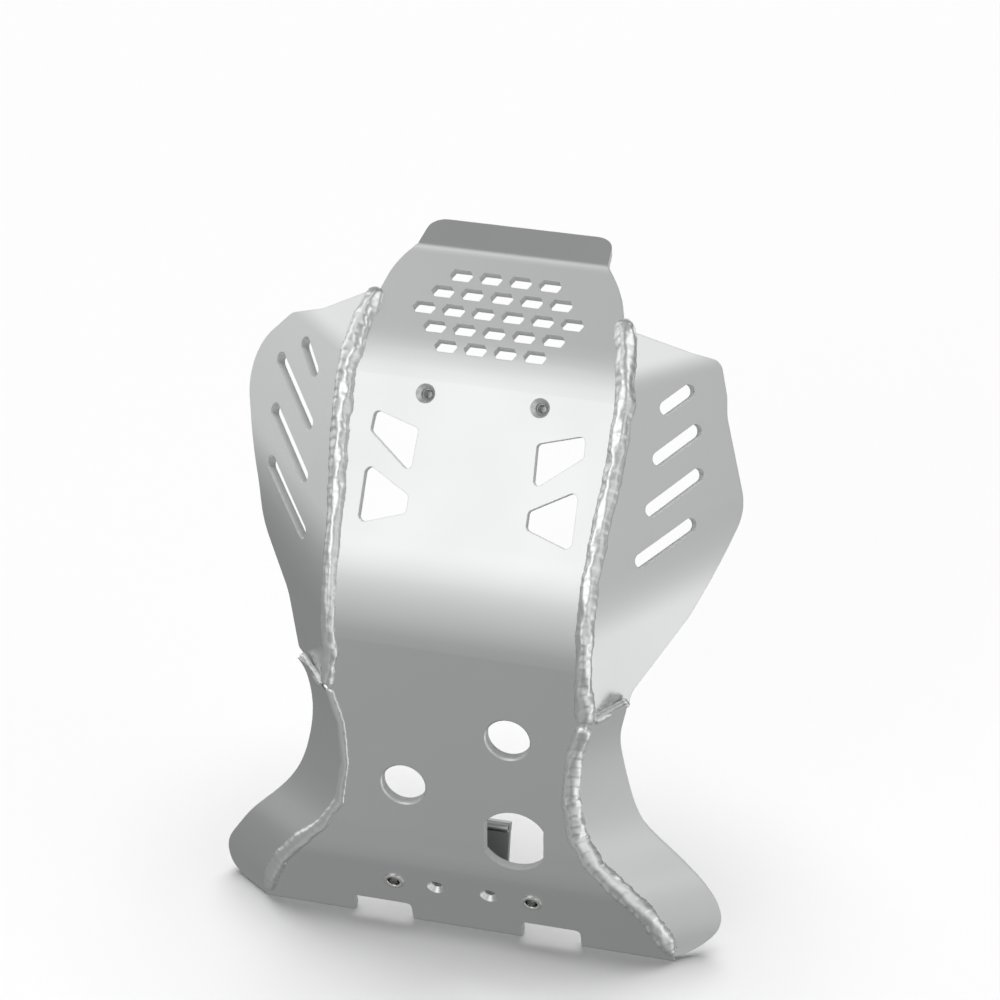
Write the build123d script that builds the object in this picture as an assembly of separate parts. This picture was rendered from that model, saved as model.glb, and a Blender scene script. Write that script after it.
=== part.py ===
"""Welded aluminium skid plate for a motorcycle, standing on its rear edge.

Frame: +X to the viewer's right, +Y away from the viewer, +Z up, millimetres.
The origin is the middle of the plate's rear edge, on its outer face.
"""
import os
from math import atan2, cos, degrees, hypot, radians, sin

from build123d import *

# sheet and its bends
SHEET = 6.35                 # thickness of every sheet
REACH = 240.0                # larger than the plate is wide

# (arc length where a flat panel starts, where it ends, lean back in degrees)
PANELS = [
    (0.0, 54.8, -19.0),      # rear panel
    (90.3, 228.4, -1.2),     # lower panel
    (297.4, 394.8, 32.2),    # window panel
    (430.3, 476.8, 50.8),    # grille panel
    (483.9, 509.1, 77.9),    # lip
]

# plate's outline: arc length and half width
HALF_WIDTH = [
    (0.0, 137.0), (20.0, 131.5), (45.0, 121.0), (66.0, 106.0), (84.0, 89.5),
    (105.0, 77.5), (135.0, 73.0), (165.0, 75.0), (192.0, 82.5),
]
HALF_WIDTH_UP = [
    (192.0, 82.5), (215.0, 80.5), (290.0, 81.0), (325.0, 83.0), (360.0, 86.0),
    (395.0, 86.3), (428.0, 82.0), (448.0, 76.6), (460.5, 73.0), (466.0, 70.8), (473.0, 66.6),
    (482.0, 60.2),
]
SHOULDER = 448               # arc length where the shoulders start
LIP_HALF = 59.9              # half width of the lip at its bend
LIP_TOP_HALF = 57.5          # half width of the lip at its end, before rounding
LIP_CORNER = 11.0

# openings of the plate
NOTCH_IN, NOTCH_OUT, NOTCH_DEEP = 36.5, 75.7, 16.1
NOTCH_R = 3.5
ROW_S, ROW_IN, ROW_OUT = 39.4, 17.5, 45.5    # the four small holes
SCREW_R, CONE_R = 3.3, 6.0   # M6 clearance hole and its countersink
INSERT_R = 5.5               # hole for an M8 rivet nut
DRAIN_R = 14.0
DRAIN_RIM = 1.0              # chamfer round a drain hole
DRAINS = [(125.1, -34.4), (170.7, 33.1)]
OVAL_S, OVAL_X, OVAL_R = 94.2, 37.0, 22.2
OVAL_FLAT = 19.0             # from the hole's middle to its two flat sides
TOP_S, TOP_X = 386.5, 35.8   # the two upper countersunk holes
HEX_PITCH, HEX_STEP, HEX_S = 18.6, 11.75, 440.2
HEX_TIP, HEX_FLAT, HEX_TALL = 14.4, 9.8, 7.6
HEX_ROWS = [4, 5, 6, 5, 4]
WINDOW_UP = [(65.8, 373.4), (37.0, 364.9), (38.2, 336.9), (66.8, 360.1)]
WINDOW_LOW = [(63.7, 339.0), (37.4, 324.0), (37.4, 313.1), (63.5, 304.4), (66.8, 306.8),
              (66.6, 335.5)]
WINDOW_R = 3.0

# wings
# each facet: lean of its panel, flare back in degrees, a point on the plate's edge
FACETS = [
    (50.8, 30.0, (82.9, 64.7, 397.7)),
    (32.2, 38.0, (84.7, 18.2, 333.2)),
    (-1.2, 47.0, (81.2, -26.6, 225.0)),
]
BEND_R = [50.0, 120.0]       # outer radius of the two folds of an upper wing
# outline in the middle facet: up the edge, outward, corner radius
WING_R = [
    (94, -25, 0), (91.6, 5, 20), (84.4, 44, 60), (82.6, 63, 9), (62, 70.5, 12),
    (50, 72.4, 30), (-4.2, 94.2, 35), (-72.7, 74.4, 60), (-123, 50.6, 6),
    (-129, 50.6, 0), (-162, 2, 0), (-150, -25, 0),
]
WING_L = [
    (100, -25, 0), (96.2, 7, 0), (83.4, 40, 40), (80, 69, 15), (53, 112, 36),
    (-28, 82.5, 60), (-52, 79.5, 50), (-92, 60, 25), (-126, 60.2, 3), (-160, 2, 0),
    (-150, -25, 0),
]
SLOT_W = 9.0
# overall ends of each slot: up the edge, outward
SLOTS_R = [((46.3, 27), (64, 47.2)), ((15.4, 27), (41, 55.7)),
           ((-15.6, 27), (15, 61.2)), ((-46.7, 25), (-15.6, 61.1))]
SLOTS_L = [((41.4, 34.4), (64.4, 53)), ((9, 31.8), (53.5, 77)),
           ((-23.8, 29.2), (21.6, 75.6)), ((-57.5, 25.4), (-11.2, 72))]

LOW_FLARE = 35.0             # the lower wings run back at this angle
# arc length at the plate's edge, and how far the wing reaches from that edge
LOW_R = [(201, 27), (192, 25.5), (179, 27), (159, 33), (135, 39.5), (105, 46), (84, 52),
         (66, 51.5), (45, 47.5), (20, 36), (9.4, 21.5), (4.6, 0)]
LOW_L = [(199, 28), (194, 22.5), (184, 22), (169, 26), (135, 36), (105, 44.5), (84, 49),
         (66, 48.5), (45, 46.5), (20, 45.5), (8, 39), (2.4, 24), (1.4, 0)]

# welds
BEAD_R, BEAD_DEEP = 4.8, 1.2     # radius of a bead, and its middle below the corner

# rear bracket, inserts, bosses
BRACKET_HALF = 25.5
FOOT_LOW, FOOT_HIGH, FOOT_T = 26.0, 53.0, 5.0
WEB_LEAN, WEB_LONG, WEB_T = 12.0, 48.0, 4.0
TAP_R = 2.5
RAIL_R, PORT_R = 3.4, 1.6
FLANGE_R, FLANGE_T = 6.8, 1.0
INSERT_LONG, INSERT_BORE_R, INSERT_BORE = 13.0, 4.0, 11.0
BOSS_R, BOSS_LONG, BOSS_BORE = 7.0, 10.0, 8.0


def bend(k):
    """Radius of the bend between flat panel k and the next."""
    a, b = PANELS[k], PANELS[k + 1]
    return (b[0] - a[1]) / radians(b[2] - a[2])


def front(s):
    """Point (y, z) of the outer face at arc length s, and the lean there."""
    y = z = 0.0
    for k, (s0, s1, lean) in enumerate(PANELS):
        a = radians(lean)
        if s <= s1 or k == len(PANELS) - 1:
            return y + (s - s0) * sin(a), z + (s - s0) * cos(a), lean
        y, z = y + (s1 - s0) * sin(a), z + (s1 - s0) * cos(a)
        r, a1 = bend(k), radians(PANELS[k + 1][2])
        part = min((s - s1) / (PANELS[k + 1][0] - s1), 1.0)
        b = a + (a1 - a) * part
        y, z = y + r * (cos(a) - cos(b)), z + r * (sin(b) - sin(a))
        if part < 1.0:
            return y, z, lean + (PANELS[k + 1][2] - lean) * part


def deep(s, d):
    """Point (y, z) at arc length s, at depth d behind the outer face."""
    y, z, lean = front(s)
    return y + d * cos(radians(lean)), z - d * sin(radians(lean))


def half_width(s):
    """Half width of the plate at arc length s, straight between the stations."""
    table = HALF_WIDTH if s <= HALF_WIDTH[-1][0] else HALF_WIDTH_UP
    for (a, xa), (b, xb) in zip(table, table[1:]):
        if s <= b:
            return xa + (xb - xa) * (s - a) / (b - a)
    return table[-1][1]


def on_face(s, x=0.0):
    """Plane on the outer face: local x along +X, local y up the sheet."""
    y, z, lean = front(s)
    a = radians(lean)
    return Plane(origin=(x, y, z), x_dir=(1, 0, 0), z_dir=(0, -cos(a), sin(a)))


def drill(s, x, radius, length=40.0):
    """Cylinder through the sheet, at right angles to it."""
    return on_face(s, x) * Cylinder(radius, length)


def rounded(points):
    """Closed face from (x, y, radius) corners."""
    wire = Polyline(*[(p[0], p[1]) for p in points], close=True)
    face = make_face(wire)
    for x, y, r in points:
        if r > 0:
            v = min(face.vertices(), key=lambda q: hypot(q.X - x, q.Y - y))
            face = fillet(v, r)
    return face


def chain(d):
    """Edges of the sheet's profile at depth d, from the rear edge to the lip."""
    edges = []
    for k, (s0, s1, lean) in enumerate(PANELS):
        edges.append(Line(deep(s0, d), deep(s1, d)))
        if k + 1 < len(PANELS):
            s2 = PANELS[k + 1][0]
            edges.append(ThreePointArc(deep(s1, d), deep((s1 + s2) / 2, d), deep(s2, d)))
    return edges


def outline_prism():
    """Everything inside the plate's front outline, along Y."""
    low = [(x, front(s)[1]) for s, x in HALF_WIDTH]
    up = [(x, front(s)[1]) for s, x in HALF_WIDTH_UP]
    top = 460.0
    flip = lambda pts: [(-x, z) for x, z in pts]
    edges = [
        Spline(low), Spline(up),
        Polyline(up[-1], (LIP_HALF, front(483.9)[1]), (LIP_HALF, top), (-LIP_HALF, top),
                 (-LIP_HALF, front(483.9)[1]), (-up[-1][0], up[-1][1])),
        Spline(flip(up)), Spline(flip(low)),
        Polyline((-low[0][0], 0), (-low[0][0] + 0.0, -20), (low[0][0], -20), (low[0][0], 0)),
    ]
    face = make_face(edges)
    plane = Plane(origin=(0, -REACH, 0), x_dir=(1, 0, 0), z_dir=(0, -1, 0))
    return extrude(plane * face, -2 * REACH)


def hexagon():
    a, f, h = HEX_TIP / 2, HEX_FLAT / 2, HEX_TALL / 2
    return Polygon((a, 0), (f, h), (-f, h), (-a, 0), (-f, -h), (f, -h), align=None)


def make_plate(inside):
    outer, inner = chain(0.0), chain(SHEET)
    ends = [Line(deep(0, 0), deep(0, SHEET)), Line(deep(509.1, 0), deep(509.1, SHEET))]
    body = extrude(Plane.YZ * make_face(outer + inner + ends), REACH, both=True)
    body = body & inside

    # lip: narrower toward its end, with rounded corners
    for side in (-1, 1):
        corner = [(LIP_HALF, -2, 0), (LIP_TOP_HALF, 25.2, LIP_CORNER), (0, 25.2, 0),
                  (0, 60, 0), (90, 60, 0), (90, -2, 0)]
        face = rounded([(side * x, y, r) for x, y, r in corner])
        body -= extrude(on_face(483.9) * face, 20, both=True)

    # shoulders: their edges stand at right angles to the grille panel
    for side in (-1, 1):
        rim = [(side * half_width(s), s - SHOULDER) for s in range(SHOULDER, 485, 4)]
        face = make_face(Polyline(*rim, (side * 110, rim[-1][1]), (side * 110, 0), close=True))
        body -= extrude(on_face(SHOULDER) * face, 20, both=True)

    # rear edge: two notches
    for side in (-1, 1):
        w = NOTCH_OUT - NOTCH_IN
        face = Pos(side * (NOTCH_IN + NOTCH_OUT) / 2, 0) * Rectangle(w, 2 * NOTCH_DEEP)
        face = fillet(face.vertices(), NOTCH_R)
        body -= extrude(on_face(0.0) * face, 20, both=True)

    cone = SHEET / 2
    for s, x in [(ROW_S, ROW_IN), (ROW_S, -ROW_IN), (TOP_S, TOP_X), (TOP_S, -TOP_X)]:
        body -= drill(s, x, SCREW_R)
        body -= on_face(s, x) * Pos(0, 0, -cone / 2) * Cone(SCREW_R, CONE_R, cone)
    for x in (ROW_OUT, -ROW_OUT):
        body -= drill(ROW_S, x, INSERT_R)
    for s, x in DRAINS:
        body -= drill(s, x, DRAIN_R)
        body -= on_face(s, x) * Pos(0, 0, -DRAIN_RIM / 2) * Cone(DRAIN_R, DRAIN_R + DRAIN_RIM, DRAIN_RIM)
    oval = Circle(OVAL_R) & Rectangle(2 * OVAL_FLAT, 4 * OVAL_R)
    body -= extrude(on_face(OVAL_S, OVAL_X) * oval, 30, both=True)

    for side in (-1, 1):
        for shape in (WINDOW_UP, WINDOW_LOW):
            face = rounded([(side * x, s - 346.0, WINDOW_R) for x, s in shape])
            body -= extrude(on_face(346.0) * face, 20, both=True)

    cells = Sketch()
    for row, count in enumerate(HEX_ROWS):
        up = (2 - row) * HEX_STEP
        for k in range(count):
            cells += Pos((k - (count - 1) / 2) * HEX_PITCH, up) * hexagon()
    body -= extrude(on_face(HEX_S) * cells, 20, both=True)
    return body


def facet(k, side, depth=0.0):
    """Plane of wing facet k: local x outward, local y up, normal to the front."""
    lean, flare, p = FACETS[k]
    a, f = radians(lean), radians(flare)
    w = (side * cos(f), cos(a) * sin(f), -sin(a) * sin(f))
    e = (0, sin(a), cos(a))
    n = Vector(*e).cross(Vector(*w))
    if n.Y > 0:
        n = -n
    origin = Vector(side * p[0], p[1], p[2]) - n * depth
    return Plane(origin=tuple(origin), x_dir=w, z_dir=tuple(n))


def folded(side, depth):
    """Everything behind the three facets, with rounded folds."""
    block = Pos(side * 100, 60, 300) * Box(400, 500, 520)
    for k in range(3):
        block = split(block, bisect_by=facet(k, side, depth), keep=Keep.BOTTOM)
    for k in range(2):
        a, b = facet(k, side, depth), facet(k + 1, side, depth)
        along = a.z_dir.cross(b.z_dir).normalized()
        def off(edge):
            m = edge.center()
            return abs((m - a.origin).dot(a.z_dir)) + abs((m - b.origin).dot(b.z_dir))
        fold = min([e for e in block.edges() if abs(e.tangent_at(0.5).dot(along)) > 0.999], key=off)
        block = fillet(fold, BEND_R[k] - depth)
    return block


def make_upper_wing(side, outline, slots, inside):
    sheet = folded(side, 0.0) - folded(side, SHEET)
    base = facet(1, side)
    up = (Vector(0, sin(radians(FACETS[1][0])), cos(radians(FACETS[1][0])))).dot(base.y_dir)
    k = 1 if up > 0 else -1
    shape = rounded([(w, k * e, r) for e, w, r in outline])
    wing = sheet & extrude(base * shape, 130, both=True)
    for (e0, w0), (e1, w1) in slots:
        a, b = Vector(w0, k * e0), Vector(w1, k * e1)
        mid, run = (a + b) / 2, b - a
        angle = degrees(atan2(run.Y, run.X))
        slot = base * Pos(mid.X, mid.Y) * Rot(0, 0, angle) * SlotOverall(run.length, SLOT_W)
        wing -= extrude(slot, 60, both=True)
    wing = wing - inside
    return max(wing.solids(), key=lambda s: s.volume)


def make_lower_wing(side, outline, inside):
    a = radians(LOW_FLARE)
    along = (side * cos(a), sin(a), 0)
    across = Plane(origin=(0, 0, 0), x_dir=(side * sin(a), -cos(a), 0), z_dir=along)
    up = 1 if across.y_dir.Z > 0 else -1
    knots = [(x * sin(a) - front(s)[0] * cos(a), up * front(s)[1]) for s, x in HALF_WIDTH]
    first, last = knots[0], knots[-1]
    knots = [(first[0] + 3, first[1] - up * 14)] + knots + [(last[0] + 3, last[1] + up * 14)]
    outer = Spline(knots)
    steps = [i / 14 for i in range(15)]
    back = []
    for t in steps:
        p, d = outer @ t, outer % t
        n = Vector(-d.Y, d.X, 0)
        if n.X > 0:
            n = -n
        back.append(tuple(p + n * SHEET)[:2])
    inner = Spline(back)
    face = make_face([outer, inner, Line(outer @ 0, inner @ 0), Line(outer @ 1, inner @ 1)])
    if (across.z_dir - Vector(*along)).length > 0.1:
        raise ValueError("wing direction")
    sheet = extrude(across * face, 220)

    flat = Plane(origin=(0, 0, 0), x_dir=along, z_dir=(side * sin(a), -cos(a), 0))
    v = 1 if flat.y_dir.Z > 0 else -1
    pts = [(half_width(s) * cos(a) + front(s)[0] * sin(a) + reach, v * front(s)[1])
           for s, reach in outline]
    edge = Spline(pts)
    x0 = 20.0
    face = make_face([edge, Polyline(pts[-1], (x0, pts[-1][1]), (x0, pts[0][1]), pts[0])])
    wing = (sheet & extrude(flat * face, 260, both=True)) - inside
    return max(wing.solids(), key=lambda s: s.volume)


def corner_path(side, s0, s1, count, deepness):
    """Points along the corner between plate and wing."""
    out = []
    for i in range(count):
        s = s0 + (s1 - s0) * i / (count - 1)
        y, z = deep(s, deepness)
        out.append((side * (half_width(s) - 0.4), y, z))
    return out


def bead(points, radius):
    """Round rod that runs through the points."""
    rod = Pos(*points[0]) * Sphere(radius)
    for a, b in zip(points, points[1:]):
        d = Vector(*b) - Vector(*a)
        rod += Plane(origin=a, z_dir=d) * extrude(Circle(radius), d.length)
        rod += Pos(*b) * Sphere(radius)
    return rod


def biggest(shape):
    return max(shape.solids(), key=lambda s: s.volume)


def make_bracket():
    """Extruded hook behind the rear panel: foot, leaning web, and rail with a screw port."""
    a0, b0 = deep(FOOT_LOW, SHEET), deep(FOOT_HIGH, SHEET)
    a1, b1 = deep(FOOT_LOW, SHEET + FOOT_T), deep(FOOT_HIGH, SHEET + FOOT_T)
    foot = make_face(Polyline(a0, b0, b1, a1, close=True))
    a = radians(WEB_LEAN)
    up, out = Vector(sin(a), cos(a)), Vector(cos(a), -sin(a))
    p = Vector(*a0) + Vector(0.6, 0.8)
    q = p + up * WEB_LONG
    web = make_face(Polyline(tuple(p)[:2], tuple(q)[:2], tuple(q + out * WEB_T)[:2],
                             tuple(p + out * WEB_T)[:2], close=True))
    mid = q + up * 3.6 - out * 2.4
    rail = Pos(mid.X, mid.Y) * Circle(RAIL_R)
    ridge = Pos(*(tuple(q + out * 2.5 + up * 2.0))[:2]) * Rot(0, 0, -WEB_LEAN) * Rectangle(5.0, 6.0)
    shape = foot + web + rail + ridge
    shape -= Pos(mid.X, mid.Y) * Circle(PORT_R)
    body = extrude(Plane.YZ * shape, BRACKET_HALF, both=True)
    for x in (ROW_IN, -ROW_IN):
        body -= on_face(ROW_S, x) * Pos(0, 0, -SHEET - FOOT_T / 2) * Cylinder(TAP_R, FOOT_T + 4)
    return body


def make_insert(x):
    at = on_face(ROW_S, x)
    body = at * Pos(0, 0, FLANGE_T / 2) * Cylinder(FLANGE_R, FLANGE_T)
    body += at * Pos(0, 0, -INSERT_LONG / 2) * Cylinder(INSERT_R, INSERT_LONG)
    body -= at * Pos(0, 0, FLANGE_T - INSERT_BORE / 2) * Cylinder(INSERT_BORE_R, INSERT_BORE)
    return body


def make_boss(x):
    at = on_face(TOP_S, x)
    body = at * Pos(0, 0, -SHEET - BOSS_LONG / 2) * Cylinder(BOSS_R, BOSS_LONG)
    body -= at * Pos(0, 0, -SHEET - BOSS_BORE / 2) * Cylinder(TAP_R, BOSS_BORE)
    return body


def build():
    inside = outline_prism()
    parts = {"centre_plate": make_plate(inside)}
    for name, side, up, slots, low in (("right", 1, WING_R, SLOTS_R, LOW_R),
                                       ("left", -1, WING_L, SLOTS_L, LOW_L)):
        upper = make_upper_wing(side, up, slots, inside)
        lower = make_lower_wing(side, low, inside) - upper
        parts[name + "_upper_wing"] = upper
        parts[name + "_lower_wing"] = biggest(lower)
        sheets = [parts["centre_plate"], upper, parts[name + "_lower_wing"]]
        long_bead = bead(corner_path(side, 194, 448, 10, BEAD_DEEP), BEAD_R)
        low_bead = bead(corner_path(side, 7, 189, 10, BEAD_DEEP), BEAD_R)
        long_bead = biggest(long_bead.cut(*sheets))
        low_bead = biggest(biggest(low_bead.cut(*sheets)) - long_bead)
        parts[name + "_upper_weld"] = long_bead
        parts[name + "_lower_weld"] = low_bead
    parts["rear_bracket"] = make_bracket()
    parts["right_insert"] = make_insert(ROW_OUT)
    parts["left_insert"] = make_insert(-ROW_OUT)
    parts["right_boss"] = make_boss(TOP_X)
    parts["left_boss"] = make_boss(-TOP_X)
    return parts


if __name__ == "__main__":
    os.makedirs("parts", exist_ok=True)
    for node, shape in build().items():
        export_step(shape, "parts/" + node + ".step")
        box = shape.bounding_box()
        print(node, [round(v, 1) for v in (*box.min, *box.max)], round(shape.volume))
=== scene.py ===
"""Dressed scene of the welded aluminium skid plate. Metres, +Z up, the row's own frame.

Shapes are worked out in millimetres: new_piece and trimmed turn them into metres.
"""

from math import cos, pi, radians, sin

import bmesh
import bpy
from mathutils import Matrix, Vector, noise


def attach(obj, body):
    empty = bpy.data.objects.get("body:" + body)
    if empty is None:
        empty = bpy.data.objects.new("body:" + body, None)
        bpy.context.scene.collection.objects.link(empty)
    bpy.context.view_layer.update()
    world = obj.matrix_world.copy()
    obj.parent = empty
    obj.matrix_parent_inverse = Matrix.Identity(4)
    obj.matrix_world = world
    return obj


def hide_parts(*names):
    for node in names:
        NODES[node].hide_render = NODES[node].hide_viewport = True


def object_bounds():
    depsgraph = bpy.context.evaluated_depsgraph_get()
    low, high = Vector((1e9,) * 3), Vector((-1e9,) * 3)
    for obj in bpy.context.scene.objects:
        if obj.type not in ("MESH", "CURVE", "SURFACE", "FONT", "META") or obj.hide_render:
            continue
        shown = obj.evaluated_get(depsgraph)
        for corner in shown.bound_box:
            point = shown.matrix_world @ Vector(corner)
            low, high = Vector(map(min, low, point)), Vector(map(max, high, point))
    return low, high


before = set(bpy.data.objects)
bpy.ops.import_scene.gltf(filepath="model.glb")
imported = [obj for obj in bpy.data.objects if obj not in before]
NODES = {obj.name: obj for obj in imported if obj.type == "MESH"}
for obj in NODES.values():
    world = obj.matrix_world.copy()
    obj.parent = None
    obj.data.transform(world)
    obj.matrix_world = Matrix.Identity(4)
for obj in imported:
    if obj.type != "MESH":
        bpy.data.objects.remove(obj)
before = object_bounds()
MM = 0.001


# node helpers
def material(name):
    m = bpy.data.materials.new(name)
    m.use_nodes = True
    tree = m.node_tree
    return m, tree, tree.nodes["Principled BSDF"]


def add(tree, kind, **values):
    """New node; each value sets a property of that name, or else an input."""
    n = tree.nodes.new(kind)
    for key, value in values.items():
        if hasattr(n, key):
            setattr(n, key, value)
        else:
            n.inputs[key].default_value = value
    return n


def link(tree, a, b):
    tree.links.new(a, b)


def feed(tree, socket, value):
    """Give an input a number, a vector or another node's output."""
    if isinstance(value, bpy.types.NodeSocket):
        link(tree, value, socket)
    else:
        socket.default_value = value


def maths(tree, operation, *values):
    n = add(tree, "ShaderNodeMath", operation=operation)
    for socket, value in zip(n.inputs, values):
        feed(tree, socket, value)
    return n.outputs[0]


def dot(tree, a, b):
    n = add(tree, "ShaderNodeVectorMath", operation="DOT_PRODUCT")
    feed(tree, n.inputs[0], a)
    feed(tree, n.inputs[1], b)
    return n.outputs["Value"]


# materials: cut edges against the sheet's faces
# painted shade: cut edges are darkened to this share of the face's colour, standing in for the
# shade inside holes and slots
WALL_PAINTED_SHADE = 0.85        # colour of a cut edge, as a share of the face's
WALL_ROUGHER = 0.12
WALL_MATT = 0.7         # how far a cut edge is matt instead of metallic
FACE_ALONG = 0.6        # a face lies nearer than this to the sheet's own normal
GRAIN_DEEP = 0.0002


def satin(name, colour, rough, grain=0.035, bump=0.08, edge=0.0006, wall=None):
    """Blasted aluminium: fine grain in roughness and relief, softened edges.

    wall(tree) gives a mask of the cut edges, which are rougher and less metallic than the faces,
    and darker in colour as painted shade.
    """
    m, t, p = material(name)
    p.inputs["Base Color"].default_value = (*colour, 1)
    p.inputs["Metallic"].default_value = 1.0
    co = add(t, "ShaderNodeTexCoord")
    fine = add(t, "ShaderNodeTexNoise", Scale=1100.0, Detail=3.0, Roughness=0.7)
    wide = add(t, "ShaderNodeTexNoise", Scale=14.0, Detail=2.0, Roughness=0.5)
    link(t, co.outputs["Object"], fine.inputs["Vector"])
    link(t, co.outputs["Object"], wide.inputs["Vector"])
    r = add(t, "ShaderNodeMapRange")
    r.inputs["To Min"].default_value = rough - grain
    r.inputs["To Max"].default_value = rough + grain
    link(t, wide.outputs["Fac"], r.inputs["Value"])
    level = r.outputs["Result"]
    if wall:
        mask = wall(t)
        # painted shade: the cut edges' colour is darkened, standing in for the shade inside
        # holes and slots
        painted_shade = add(t, "ShaderNodeMix", data_type="RGBA")
        painted_shade.inputs[6].default_value = (*colour, 1)
        painted_shade.inputs[7].default_value = (*[c * WALL_PAINTED_SHADE for c in colour], 1)
        link(t, mask, painted_shade.inputs["Factor"])
        link(t, painted_shade.outputs[2], p.inputs["Base Color"])
        level = maths(t, "MULTIPLY_ADD", mask, WALL_ROUGHER, level)
        link(t, maths(t, "MULTIPLY_ADD", mask, -WALL_MATT, 1.0), p.inputs["Metallic"])
    link(t, level, p.inputs["Roughness"])
    soft = add(t, "ShaderNodeBevel", samples=4)
    soft.inputs["Radius"].default_value = edge
    b = add(t, "ShaderNodeBump")
    b.inputs["Strength"].default_value = bump
    b.inputs["Distance"].default_value = GRAIN_DEEP
    link(t, fine.outputs["Fac"], b.inputs["Height"])
    link(t, soft.outputs["Normal"], b.inputs["Normal"])
    link(t, b.outputs["Normal"], p.inputs["Normal"])
    return m


def across(tree, normal):
    """How nearly the surface's own normal lies along a given one, 0 to 1."""
    geo = add(tree, "ShaderNodeNewGeometry")
    return maths(tree, "ABSOLUTE", dot(tree, geo.outputs["True Normal"], normal))


def facet_walls(*normals):
    """Cut edges of a sheet whose faces lie along a few known normals."""
    def wall(tree):
        best = across(tree, normals[0])
        for n in normals[1:]:
            best = maths(tree, "MAXIMUM", best, across(tree, n))
        return maths(tree, "LESS_THAN", best, FACE_ALONG)
    return wall


def lengthwise(side):
    """Cut edges of a lower wing: they face along its own direction, or straight up or down."""
    a = radians(LOW_FLARE)

    def wall(tree):
        along = across(tree, (side * cos(a), sin(a), 0.0))
        upright = across(tree, (0.0, 0.0, 1.0))
        return maths(tree, "MAXIMUM", maths(tree, "GREATER_THAN", along, 0.45),
                     maths(tree, "GREATER_THAN", upright, 0.9))
    return wall


RAMP_HIGH = 0.5                     # height in metres at the ramp's end
LEAN_LEAST, LEAN_SPAN = -30, 120    # degrees at the ramp's black, and from there to its white
LIP_RISE = 0.006                    # metres below the lip's end where its lean is taken to start


def plate_walls(tree):
    """Cut edges of the bent plate: its face leans by an amount that depends on the height."""
    co = add(tree, "ShaderNodeTexCoord")
    sep = add(tree, "ShaderNodeSeparateXYZ")
    link(tree, co.outputs["Object"], sep.inputs[0])
    stops = []
    for s0, s1, lean in PANELS:
        for s in (s0 + 0.01, s1 - 0.01):
            stops.append((front(s)[1] * MM / RAMP_HIGH, (lean - LEAN_LEAST) / LEAN_SPAN))
    stops[-2] = (stops[-1][0] - LIP_RISE / RAMP_HIGH, stops[-1][1])
    ramp = add(tree, "ShaderNodeValToRGB")
    e = ramp.color_ramp.elements
    for i, (where, value) in enumerate(stops):
        stop = e[i] if i < 2 else e.new(1.0)
        stop.position = min(max(where, 0.0), 1.0)
        stop.color = (value, value, value, 1)
    link(tree, maths(tree, "MULTIPLY", sep.outputs["Z"], 1 / RAMP_HIGH), ramp.inputs["Fac"])
    lean = maths(tree, "MULTIPLY_ADD", ramp.outputs["Color"], radians(LEAN_SPAN),
                 radians(LEAN_LEAST))
    n = add(tree, "ShaderNodeCombineXYZ")
    link(tree, maths(tree, "MULTIPLY", maths(tree, "COSINE", lean), -1.0), n.inputs["Y"])
    link(tree, maths(tree, "SINE", lean), n.inputs["Z"])
    return maths(tree, "LESS_THAN", across(tree, n.outputs[0]), FACE_ALONG)


# the sheet's shape, as in the CAD: arc length up the outer face, in millimetres and degrees
PANELS = [(0.0, 54.8, -19.0), (90.3, 228.4, -1.2), (297.4, 394.8, 32.2),
          (430.3, 476.8, 50.8), (483.9, 509.1, 77.9)]
HALF = [(0.0, 137.0), (20.0, 131.5), (45.0, 121.0), (66.0, 106.0), (84.0, 89.5),
        (105.0, 77.5), (135.0, 73.0), (165.0, 75.0), (192.0, 82.5), (215.0, 80.5),
        (290.0, 81.0), (325.0, 83.0), (360.0, 86.0), (395.0, 86.3), (428.0, 82.0),
        (448.0, 76.6), (460.5, 73.0), (466.0, 70.8), (473.0, 66.6),
        (482.0, 60.2)]
THICK = 6.35
UPPER_FACETS = [(50.8, 30.0), (32.2, 38.0), (-1.2, 47.0)]    # lean and flare of each
LOW_FLARE = 35.0
BOSS_S, BOSS_X = 386.5, 35.8
INSERT_S, INSERT_X = 39.4, 45.5


def front(s):
    """(y, z, lean) of the outer face at arc length s, in millimetres and radians."""
    y = z = 0.0
    for k, (s0, s1, lean) in enumerate(PANELS):
        a = radians(lean)
        if s <= s1 or k == len(PANELS) - 1:
            return y + (s - s0) * sin(a), z + (s - s0) * cos(a), a
        y, z = y + (s1 - s0) * sin(a), z + (s1 - s0) * cos(a)
        s2, b1 = PANELS[k + 1][0], radians(PANELS[k + 1][2])
        r, part = (s2 - s1) / (b1 - a), min((s - s1) / (s2 - s1), 1.0)
        b = a + (b1 - a) * part
        y, z = y + r * (cos(a) - cos(b)), z + r * (sin(b) - sin(a))
        if part < 1.0:
            return y, z, b


def half_width(s):
    for (a, xa), (b, xb) in zip(HALF, HALF[1:]):
        if s <= b:
            return xa + (xb - xa) * (s - a) / (b - a)
    return HALF[-1][1]


def facet(lean, flare, side):
    """Outward normal of a facet of an upper wing."""
    a, f = radians(lean), radians(flare)
    w = Vector((side * cos(f), cos(a) * sin(f), -sin(a) * sin(f)))
    return Vector((0, sin(a), cos(a))).cross(w).normalized()


def on_face(s, x, depth=0.0):
    """Point on the plate, depth below its outer face, and the outward normal there."""
    y, z, a = front(s)
    return Vector((x, y + depth * cos(a), z - depth * sin(a))), Vector((0, -cos(a), sin(a)))


def at(table, s):
    """Value of a (place, value) table at s, smooth between its rows."""
    for (a, va), (b, vb) in zip(table, table[1:]):
        if s <= b:
            k = min(max((s - a) / (b - a), 0.0), 1.0)
            return va + (vb - va) * k * k * (3 - 2 * k)
    return table[-1][1]


def dress(obj, node=None):
    """Put a new piece on the root and in the place of its CAD node."""
    bpy.context.scene.collection.objects.link(obj)
    if node:
        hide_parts(node)
    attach(obj, "root")
    return obj


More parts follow.
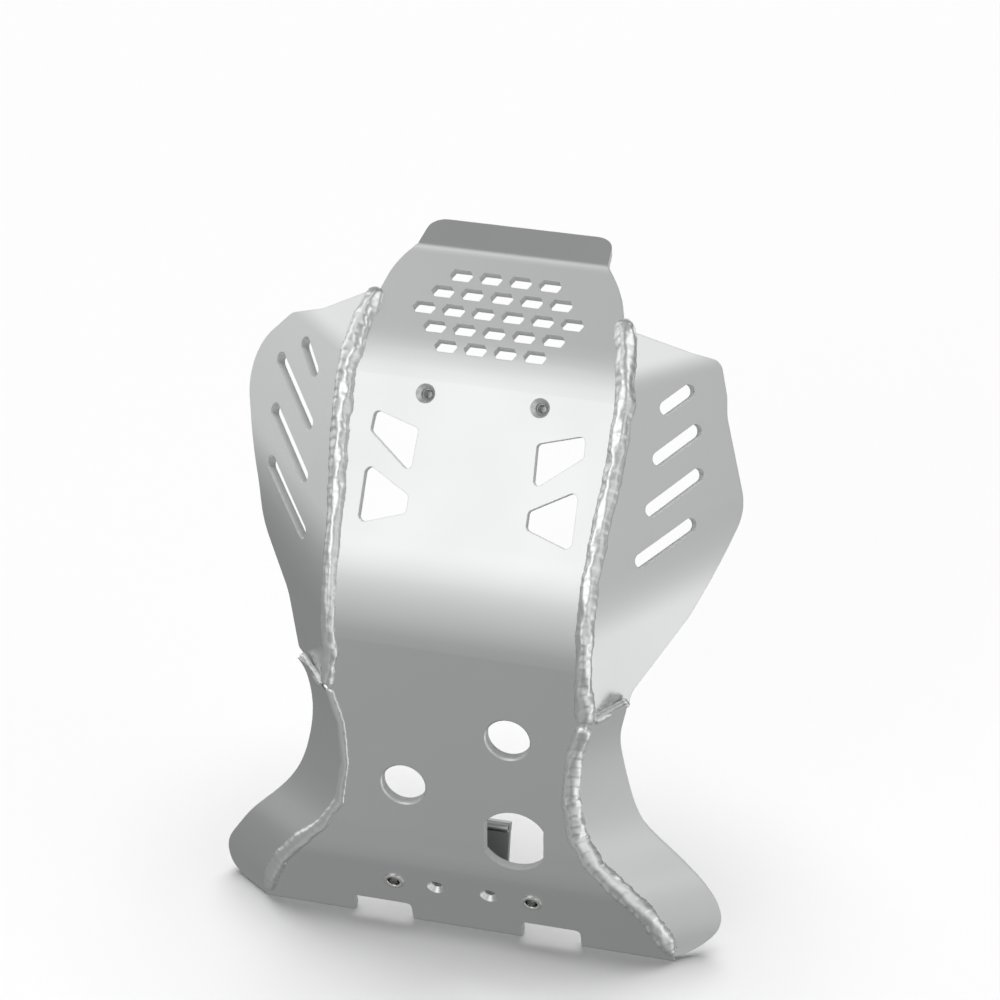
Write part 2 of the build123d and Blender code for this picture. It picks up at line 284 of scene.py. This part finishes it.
def new_piece(name, verts, faces, look, node=None):
    mesh = bpy.data.meshes.new(name)
    mesh.from_pydata([v * MM for v in verts], [], faces)
    mesh.validate()
    mesh.shade_smooth()
    mesh.materials.append(look)
    return dress(bpy.data.objects.new(name, mesh), node)


# weld beads
BEAD_RING = 28
BEAD_STEP = 0.9         # between the rings of a long bead
CORNER_IN = 0.4         # a bead's middle inside the plate's edge, as in the CAD
CORNER_DEEP = 1.2       # and below its face


def bead(name, pts, radii, out, seed, lump=0.15, ripple=0.05, pitch=6.0, flat=0.85, node=None):
    """A run of weld along pts: long soft lumps, with ripples that lag at the sides."""
    ring, steps = BEAD_RING, len(pts) - 1
    run = [0.0]
    for a, b in zip(pts, pts[1:]):
        run.append(run[-1] + (b - a).length)
    verts, faces = [], []
    phase = 0.0
    for i, p in enumerate(pts):
        d = (pts[min(i + 1, steps)] - pts[max(i - 1, 0)]).normalized()
        u = (out - d * out.dot(d)).normalized()
        v = d.cross(u)
        r0 = radii[i]
        end = min(run[i], run[-1] - run[i])
        cap = max((1 - (1 - min(end / (r0 * 0.9), 1.0)) ** 2) ** 0.5, 0.03)
        wander = 0.5 * noise.noise(Vector((run[i] * 0.05, seed, 7.0)))
        wide = 1 + 0.16 * noise.noise(Vector((run[i] * 0.09, seed, 1.0)))
        for j in range(ring):
            th = 2 * pi * j / ring
            c, s = cos(th), sin(th)
            long_ = noise.noise(Vector((run[i] * 0.10, c * 1.5 + seed, s * 1.5)))
            fine = noise.noise(Vector((run[i] * 0.32, c * 2.4, s * 2.4 + seed)))
            saw = 1 - (phase + 0.28 * s * s) % 1.0
            r = r0 * cap * (1 + lump * long_ + 0.35 * lump * fine + ripple * (saw - 0.5))
            verts.append(p + u * (c * r * flat) + v * (s * r * wide + wander * cap)
                         - d * (0.9 * cap * s * s))
        if i < steps:
            stretch = 1 + 0.5 * noise.noise(Vector((run[i] * 0.07, seed, 3.0)))
            phase += (run[i + 1] - run[i]) / (pitch * stretch)
    for i in range(steps):
        for j in range(ring):
            a, b = i * ring + j, i * ring + (j + 1) % ring
            faces.append((a, b, b + ring, a + ring))
    faces.append(tuple(range(ring))[::-1])
    faces.append(tuple(steps * ring + j for j in range(ring)))
    # no lump stands in front of the CAD's box
    foremost = before[0][1] / MM
    for w in verts:
        w.y = max(w.y, foremost)
    return new_piece(name, verts, faces, WELD, node)


def corner_bead(name, node, side, s0, s1, widths, shift, **kind):
    """Bead along the corner between the plate and a wing."""
    pts, radii = [], []
    steps = int((s1 - s0) / BEAD_STEP)
    for i in range(steps + 1):
        s = s0 + (s1 - s0) * i / steps
        x = side * (half_width(s) - CORNER_IN + at(shift, s))
        pts.append(on_face(s, x, CORNER_DEEP)[0])
        radii.append(at(widths, s))
    return bead(name, pts, radii, Vector((side * 0.38, -0.92, 0.1)), node=node, **kind)


def seam(name, side, a, b, seed, r0, r1):
    """Thin weld under the lower edge of an upper wing."""
    a, b = Vector(a), Vector(b)
    n = max(int((b - a).length / 0.8), 4)
    pts = [a.lerp(b, i / n) for i in range(n + 1)]
    radii = [r0 + (r1 - r0) * i / n for i in range(n + 1)]
    bead(name, pts, radii, Vector((side * 0.65, -0.7, -0.3)), seed=seed, lump=0.12, ripple=0.05,
         pitch=5.0)


# turned and trimmed pieces
def lathe(name, node, s, x, profile, look, ring=64):
    """Turned piece: (radius, height above the outer face) pairs round the hole's axis."""
    centre, n = on_face(s, x)
    u = Vector((1, 0, 0))
    v = n.cross(u)
    verts, faces = [], []
    for r, h in profile:
        for j in range(ring):
            th = 2 * pi * j / ring
            verts.append(centre + n * h + (u * cos(th) + v * sin(th)) * r)
    rows = len(profile)
    for i in range(rows):
        k = (i + 1) % rows
        for j in range(ring):
            a, b = j, (j + 1) % ring
            faces.append((i * ring + a, i * ring + b, k * ring + b, k * ring + a))
    obj = new_piece(name, verts, faces, look, node)
    obj.data.set_sharp_from_angle(angle=radians(28))
    return obj


def trimmed(name, node, a, b):
    """Copy of a lower wing, its top cut back to the seam that runs from a to b."""
    mesh = NODES[node].data.copy()
    mesh.name = name
    a, b = Vector(a), Vector(b)
    gone = (b - a).cross(Vector((0.23, -0.84, 0.5))).normalized()
    bm = bmesh.new()
    bm.from_mesh(mesh)
    every = bm.verts[:] + bm.edges[:] + bm.faces[:]
    made = bmesh.ops.bisect_plane(bm, geom=every, dist=1e-7, plane_co=a * MM, plane_no=gone,
                                  clear_outer=True)
    rim = [g for g in made["geom_cut"] if isinstance(g, bmesh.types.BMEdge)]
    bmesh.ops.contextual_create(bm, geom=rim)
    bm.to_mesh(mesh)
    bm.free()
    return dress(bpy.data.objects.new(name, mesh), node)


# looks
TINT = (0.775, 0.785, 0.785)
SATIN = 0.36
SHEET = satin("satin_plate", TINT, SATIN, wall=plate_walls)
UPPER, LOWER = {}, {}
for side, name in ((1, "right"), (-1, "left")):
    normals = [facet(lean, flare, side) for lean, flare in UPPER_FACETS]
    UPPER[name] = satin("satin_upper_" + name, TINT, SATIN, wall=facet_walls(*normals))
    LOWER[name] = satin("satin_lower_" + name, TINT, SATIN, wall=lengthwise(side))
WELD = satin("weld_metal", (0.90, 0.91, 0.91), 0.33, bump=0.0, edge=0.0003)
EXTRUSION = satin("mill_extrusion", (0.56, 0.58, 0.57), 0.3, bump=0.02)
INSERT = satin("plated_insert", (0.78, 0.78, 0.77), 0.22, bump=0.02, edge=0.0003)
BOSS = satin("turned_boss", (0.74, 0.74, 0.74), 0.4, bump=0.02)

LOOK = {"centre_plate": SHEET,
        "right_upper_wing": UPPER["right"], "left_upper_wing": UPPER["left"],
        "right_lower_wing": LOWER["right"], "left_lower_wing": LOWER["left"],
        "rear_bracket": EXTRUSION, "right_insert": INSERT, "left_insert": INSERT,
        "right_boss": BOSS, "left_boss": BOSS}
for name, node in NODES.items():
    node.data.materials.clear()
    node.data.materials.append(LOOK.get(name, WELD))

# pieces: widths and shifts are (arc length, millimetres) tables
corner_bead("weld_right_upper", "right_upper_weld", 1, 191, 449,
            [(191, 5.4), (203, 6.6), (222, 5.2), (300, 5.6), (380, 6.0), (425, 6.0), (440, 7.0),
             (449, 6.2)],
            [(191, 0.6), (230, 0.2), (449, 0.6)], seed=3.0)
corner_bead("weld_left_upper", "left_upper_weld", -1, 192, 450,
            [(192, 5.0), (250, 4.8), (300, 5.2), (345, 6.4), (400, 7.0), (440, 6.8), (450, 5.6)],
            [(192, 0.0), (320, 0.3), (400, 1.2), (450, 1.6)], seed=11.0)
corner_bead("weld_right_lower", "right_lower_weld", 1, 6, 190,
            [(6, 4.6), (22, 6.4), (60, 6.4), (100, 6.4), (140, 5.8), (190, 5.2)],
            [(6, 0.0), (190, 0.4)], seed=23.0, lump=0.14, ripple=0.09, pitch=7.5, flat=0.62)
corner_bead("weld_left_lower", "left_lower_weld", -1, 6, 190,
            [(6, 4.2), (24, 5.6), (60, 5.0), (90, 3.6), (140, 3.2), (190, 3.6)],
            [(6, 0.0), (190, 0.0)], seed=31.0, lump=0.1, ripple=0.08, pitch=7.0, flat=0.6)

trimmed("right_lower_sheet", "right_lower_wing", (108.5, -9.6, 199.5), (85.9, -23.9, 188.7))
trimmed("left_lower_sheet", "left_lower_wing", (-87.4, -22.3, 185.7), (-102.9, -13.3, 197.5))

seam("weld_right_seam", 1, (85.5, -22.0, 188.0), (105.0, -6.6, 196.2), 41.0, 3.9, 3.3)
seam("weld_left_seam", -1, (-86.5, -21.5, 185.0), (-105.5, -5.0, 194.5), 47.0, 3.4, 2.4)

BOSS_PROFILE = [(2.9, -THICK), (6.6, -THICK), (7.0, -THICK - 0.4), (7.0, -THICK - 9.6),
                (6.6, -THICK - 10), (0.01, -THICK - 10), (0.01, -THICK - 8),
                (2.5, -THICK - 8), (2.5, -THICK - 0.4)]
INSERT_PROFILE = [(4.0, 0.5), (4.25, 0.85), (4.6, 1.0), (6.3, 1.0), (6.65, 0.85), (6.8, 0.5),
                  (6.8, 0.0), (5.5, 0.0), (5.5, -12.6), (5.1, -13.0), (0.01, -13.0),
                  (0.01, -10.0), (4.0, -10.0)]
for side, name in ((1, "right"), (-1, "left")):
    lathe("turned_boss_" + name, name + "_boss", BOSS_S, side * BOSS_X, BOSS_PROFILE,
          BOSS)
    lathe("rivet_nut_" + name, name + "_insert", INSERT_S, side * INSERT_X, INSERT_PROFILE,
          INSERT)

# floor
FLOOR_SIZE, FLOOR_DROP, FLOOR_WHITE = 12.0, 0.0002, 0.86
TABLE_FADE = (0.5, 1.5)     # Y at which reflections begin to see the floor, and see all of it
bpy.ops.mesh.primitive_plane_add(size=FLOOR_SIZE, location=(0, 0, -FLOOR_DROP))
floor = bpy.context.object
floor.name = "floor"
fm, ft, fp = material("floor_white")
ft.nodes.remove(fp)
matt = add(ft, "ShaderNodeBsdfDiffuse")
matt.inputs["Color"].default_value = (FLOOR_WHITE, FLOOR_WHITE, FLOOR_WHITE, 1)
# near the object, reflections see the studio's light below it instead of the floor
geo = add(ft, "ShaderNodeNewGeometry")
sep = add(ft, "ShaderNodeSeparateXYZ")
link(ft, geo.outputs["Position"], sep.inputs[0])
fade = add(ft, "ShaderNodeMapRange")
fade.inputs["From Min"].default_value, fade.inputs["From Max"].default_value = TABLE_FADE
fade.inputs["To Min"].default_value = 1.0
fade.inputs["To Max"].default_value = 0.0
link(ft, sep.outputs["Y"], fade.inputs["Value"])
ray = add(ft, "ShaderNodeLightPath")
clear = add(ft, "ShaderNodeBsdfTransparent")
mix = add(ft, "ShaderNodeMixShader")
link(ft, maths(ft, "MULTIPLY", ray.outputs["Is Glossy Ray"], fade.outputs["Result"]),
     mix.inputs["Fac"])
link(ft, matt.outputs[0], mix.inputs[1])
link(ft, clear.outputs[0], mix.inputs[2])
link(ft, mix.outputs[0], ft.nodes["Material Output"].inputs["Surface"])
floor.data.materials.append(fm)

# world: a base level and soft patches of light, as (direction, power, level). Their levels were
# fitted so that the metal's flat parts come out about as bright as in the photo.
BASE_LIGHT = 0.20
LOBES = [((-0.23, -0.80, 0.56), 14, 1.14), ((-0.23, -0.91, 0.34), 12, 0.88),
         ((-0.23, -0.94, -0.24), 40, 0.56), ((-0.91, 0.16, 0.39), 12, 1.32),
         ((0.69, -0.09, 0.72), 14, 1.52), ((0.69, -0.09, 0.72), 40, 0.28),
         ((0.83, -0.11, -0.54), 5, 0.58), ((0.83, -0.11, -0.54), 40, 1.11),
         ((-0.50, -0.20, 0.84), 14, 0.57), ((0.53, -0.84, -0.11), 14, 0.54),
         ((0.69, -0.55, 0.10), 14, 0.66), ((-0.25, 0.20, 0.95), 40, 1.29),
         ((-1.00, 0.10, 0.10), 40, 0.24), ((-0.23, -0.97, 0.10), 3, 0.14),
         ((-0.40, -0.10, 0.90), 40, 0.21), ((-0.30, -0.50, -0.80), 14, 0.16),
         ((-0.30, -0.50, -0.80), 40, 0.15), ((-0.80, -0.10, -0.50), 3, 0.18)]
STUDIO_GREY = 0.8
MATT_LESS = 0.65        # share of the studio's light that matt surfaces don't get
SWEEP = ((0, 1, 0), 6, 1.0)

world = bpy.data.worlds.new("studio")
bpy.context.scene.world = world
world.use_nodes = True
wt = world.node_tree
wt.nodes.clear()
wout = add(wt, "ShaderNodeOutputWorld")
co = add(wt, "ShaderNodeTexCoord")


def lobe(direction, power, level):
    """A soft patch of light round a direction."""
    near = dot(wt, co.outputs["Generated"], Vector(direction).normalized())
    return maths(wt, "MULTIPLY", maths(wt, "POWER", maths(wt, "MAXIMUM", near, 0.0), power),
                 level)


total = lobe(*LOBES[0])
for row in LOBES[1:]:
    total = maths(wt, "ADD", total, lobe(*row))
total = maths(wt, "ADD", total, BASE_LIGHT)
path = add(wt, "ShaderNodeLightPath")
# matt things, which are the floor and in part the cut edges, take less, so that shadows show
shy = maths(wt, "MULTIPLY_ADD", path.outputs["Is Diffuse Ray"], -MATT_LESS, 1.0)
studio = add(wt, "ShaderNodeBackground")
studio.inputs["Color"].default_value = (STUDIO_GREY, STUDIO_GREY, STUDIO_GREY, 1)
link(wt, maths(wt, "MULTIPLY", total, shy), studio.inputs["Strength"])
white = add(wt, "ShaderNodeBackground")
white.inputs["Color"].default_value = (1, 1, 1, 1)
# the white sweep behind the object shows to the camera, through glass and in metal alike
seen = maths(wt, "MULTIPLY", path.outputs["Is Glossy Ray"], lobe(*SWEEP))
for kind in ("Is Transmission Ray", "Is Camera Ray"):
    seen = maths(wt, "MAXIMUM", seen, path.outputs[kind])
mix = add(wt, "ShaderNodeMixShader")
link(wt, seen, mix.inputs["Fac"])
link(wt, studio.outputs[0], mix.inputs[1])
link(wt, white.outputs[0], mix.inputs[2])
link(wt, mix.outputs[0], wout.inputs["Surface"])

# key light: one soft sun from above
KEY_ENERGY, KEY_SPREAD, KEY_FROM = 2.95, 52, (0.0, 0.17, 1.0)
key = bpy.data.lights.new("key", "SUN")
key.energy = KEY_ENERGY
key.angle = radians(KEY_SPREAD)
lamp = bpy.data.objects.new("key", key)
lamp.rotation_euler = Vector(KEY_FROM).to_track_quat("Z", "Y").to_euler()
lamp.visible_glossy = False
bpy.context.scene.collection.objects.link(lamp)

# camera, as solved from the photo
EYE_AT, LENS, SENSOR = (0.5033, -1.7757, 1.3829), 127.76, 36.0
cam = bpy.data.cameras.new("camera")
cam.sensor_width = SENSOR
cam.lens = LENS
eye = bpy.data.objects.new("camera", cam)
bpy.context.scene.collection.objects.link(eye)
right, up = Vector((0.9651, 0.2619, 0.0)), Vector((-0.1309, 0.4823, 0.8662))
back = right.cross(up).normalized()
up = back.cross(right).normalized()
eye.matrix_world = Matrix.Translation(EYE_AT) @ Matrix(
    (right.normalized(), up, back)).transposed().to_4x4()
bpy.context.scene.camera = eye
bpy.context.scene.view_settings.view_transform = "Standard"
